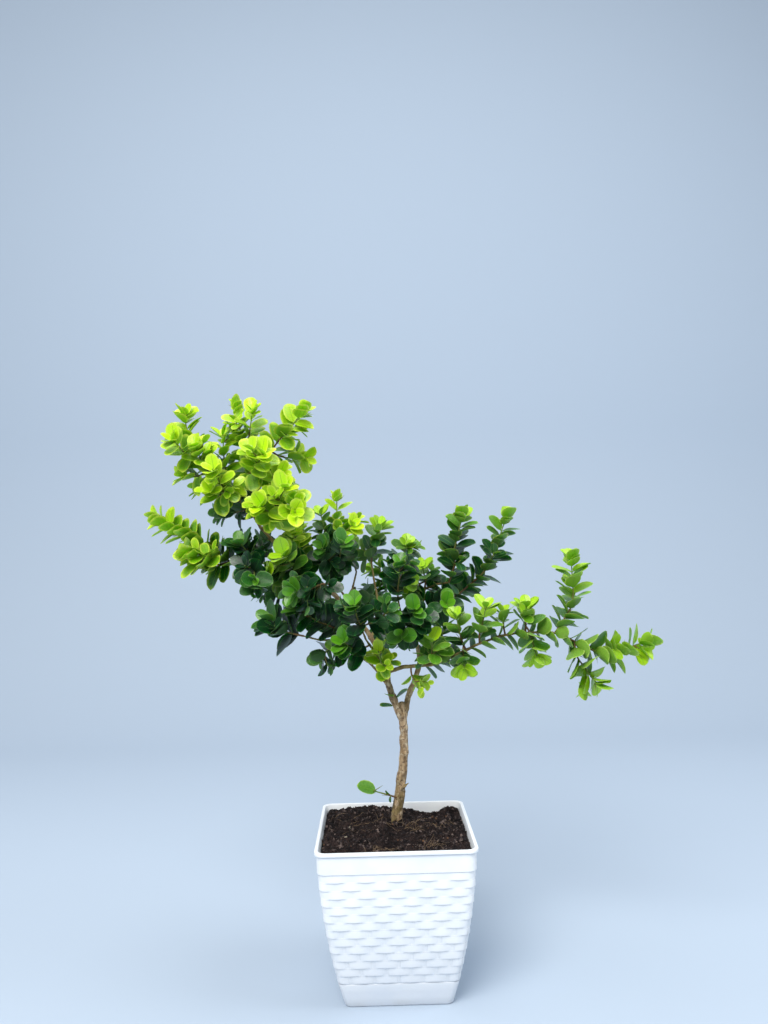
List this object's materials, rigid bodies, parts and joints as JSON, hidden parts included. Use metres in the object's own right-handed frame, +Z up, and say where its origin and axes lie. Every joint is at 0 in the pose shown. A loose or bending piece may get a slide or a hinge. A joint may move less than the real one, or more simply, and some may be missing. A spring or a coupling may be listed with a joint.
{
  "type": "potted bonsai tree",
  "caption": "Karonda bonsai: a bare forked trunk with a one-sided leafy crown, spiny shoots and a low branch, in a tapering square planter with basket-weave relief.",
  "frame": {"origin": "centre of the pot's flat underside", "axes": "+Z up along the pot's axis, +X towards the long low branch, -Y towards the viewer of the picture, X and Y along the square pot's sides"},
  "size_m": [0.5699, 0.2239, 0.6575],
  "materials": {
    "pot_plastic": "satin",
    "soil": "matte",
    "bark": "matte",
    "leaf_dark": "satin",
    "leaf_green": "satin",
    "leaf_lime": "satin"
  },
  "bodies": {
    "root": {"pot": "pot_plastic", "shoot_centre_01": "leaf_green", "shoot_centre_02": "leaf_dark", "shoot_centre_03": "leaf_dark", "shoot_centre_04": "leaf_dark", "shoot_centre_05": "leaf_lime", "shoot_centre_06": "leaf_dark", "shoot_centre_07": "leaf_dark", "shoot_centre_08": "leaf_dark", "shoot_centre_09": "leaf_dark", "shoot_crown_01": "leaf_lime", "shoot_crown_02": "leaf_lime", "shoot_crown_03": "leaf_lime", "shoot_crown_04": "leaf_lime", "shoot_crown_05": "leaf_lime", "shoot_crown_06": "leaf_lime", "shoot_crown_07": "leaf_lime", "shoot_crown_08": "leaf_lime", "shoot_crown_09": "leaf_lime", "shoot_crown_10": "leaf_lime", "shoot_crown_11": "leaf_green", "shoot_crown_12": "leaf_lime", "shoot_crown_13": "leaf_lime", "shoot_crown_14": "leaf_green", "shoot_crown_15": "leaf_green", "shoot_crown_16": "leaf_dark", "shoot_east_01": "leaf_dark", "shoot_east_02": "leaf_dark", "shoot_east_03": "leaf_green", "shoot_east_04": "leaf_green", "shoot_east_05": "leaf_green", "shoot_east_06": "leaf_dark", "shoot_east_07": "leaf_lime", "shoot_east_08": "leaf_green", "shoot_east_09": "leaf_green", "shoot_east_10": "leaf_green", "shoot_east_11": "leaf_green", "shoot_east_12": "leaf_green", "shoot_east_13": "leaf_green", "shoot_ridge_01": "leaf_dark", "shoot_ridge_02": "leaf_green", "shoot_ridge_03": "leaf_lime", "shoot_ridge_04": "leaf_green", "shoot_ridge_05": "leaf_green", "shoot_ridge_06": "leaf_dark", "shoot_ridge_07": "leaf_dark", "shoot_side_01": "leaf_green", "shoot_trunk_01": "leaf_green", "shoot_west_01": "leaf_lime", "shoot_west_02": "leaf_dark", "shoot_west_03": "leaf_dark", "shoot_west_04": "leaf_green", "shoot_west_05": "leaf_lime", "shoot_west_06": "leaf_dark", "shoot_west_07": "leaf_dark", "shoot_west_08": "leaf_dark", "shoot_west_09": "leaf_dark", "shoot_west_10": "leaf_green", "soil": "soil", "wood": "bark"}
  },
  "joints": []
}
